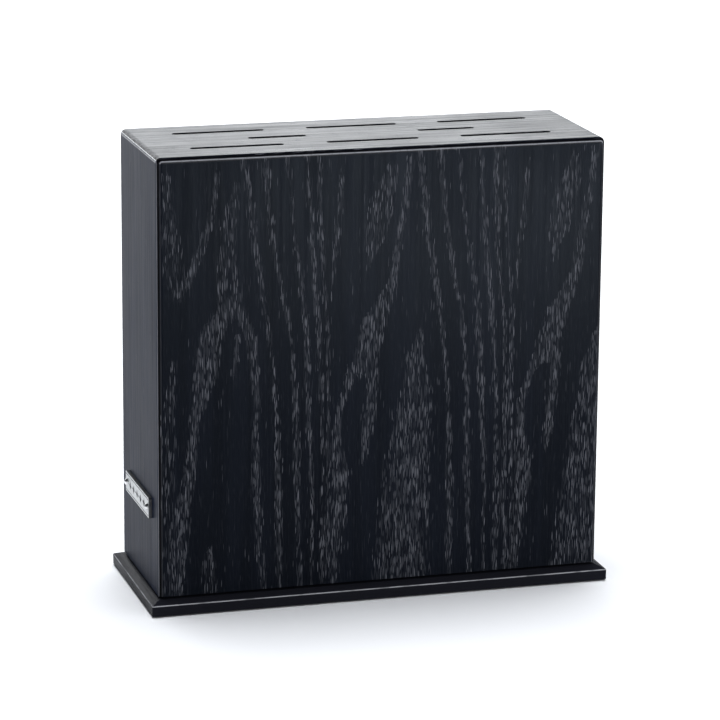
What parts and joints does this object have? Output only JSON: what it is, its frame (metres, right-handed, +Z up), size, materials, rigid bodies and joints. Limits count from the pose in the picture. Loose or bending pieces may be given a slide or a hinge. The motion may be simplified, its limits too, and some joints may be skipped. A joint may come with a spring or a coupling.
{
  "type": "knife block",
  "caption": "Upright rectangular knife block in black-stained veneer, with rows of long and short blade slots in the top and a chamfered base board.",
  "frame": {"origin": "on the floor plane, under the middle of the base board", "axes": "+Z up; +X along the width, to the right seen from the front; the front face looks along -Y and the badge is on the -X side"},
  "size_m": [0.291, 0.111, 0.2811],
  "materials": {
    "stained_veneer": "open-pored black stain under satin varnish, pores limed grey",
    "case_black": "sealed and sprayed satin black",
    "base_lacquer": "satin black lacquer",
    "core_wood": "dark stained, unpolished",
    "badge_metal": "brushed, with an etched border and a row of lozenges",
    "pin_metal": "polished",
    "screw_zinc": "yellow zinc plate",
    "foot_rubber": "matt"
  },
  "bodies": {
    "root": {"base_board": "base_lacquer", "foot_pads": "foot_rubber", "base_screws": "screw_zinc", "core_board_front": "core_wood", "core_board_mid_front": "core_wood", "core_board_mid_back": "core_wood", "core_board_back": "core_wood", "front_strip_left": "core_wood", "front_strip_mid_left": "core_wood", "front_strip_mid_right": "core_wood", "front_strip_right": "core_wood", "middle_strip_left": "core_wood", "middle_strip_centre": "core_wood", "middle_strip_right": "core_wood", "back_strip_left": "core_wood", "back_strip_mid_left": "core_wood", "back_strip_mid_right": "core_wood", "back_strip_right": "core_wood", "front_panel": "case_black", "back_panel": "case_black", "left_panel": "case_black", "right_panel": "case_black", "top_panel": "case_black", "front_veneer_left": "stained_veneer", "front_veneer_middle": "stained_veneer", "front_veneer_right": "stained_veneer", "back_veneer_left": "stained_veneer", "back_veneer_middle": "stained_veneer", "back_veneer_right": "stained_veneer", "left_veneer": "stained_veneer", "right_veneer": "stained_veneer", "top_veneer": "stained_veneer", "badge_plate": "badge_metal", "badge_pins": "pin_metal"}
  },
  "joints": []
}
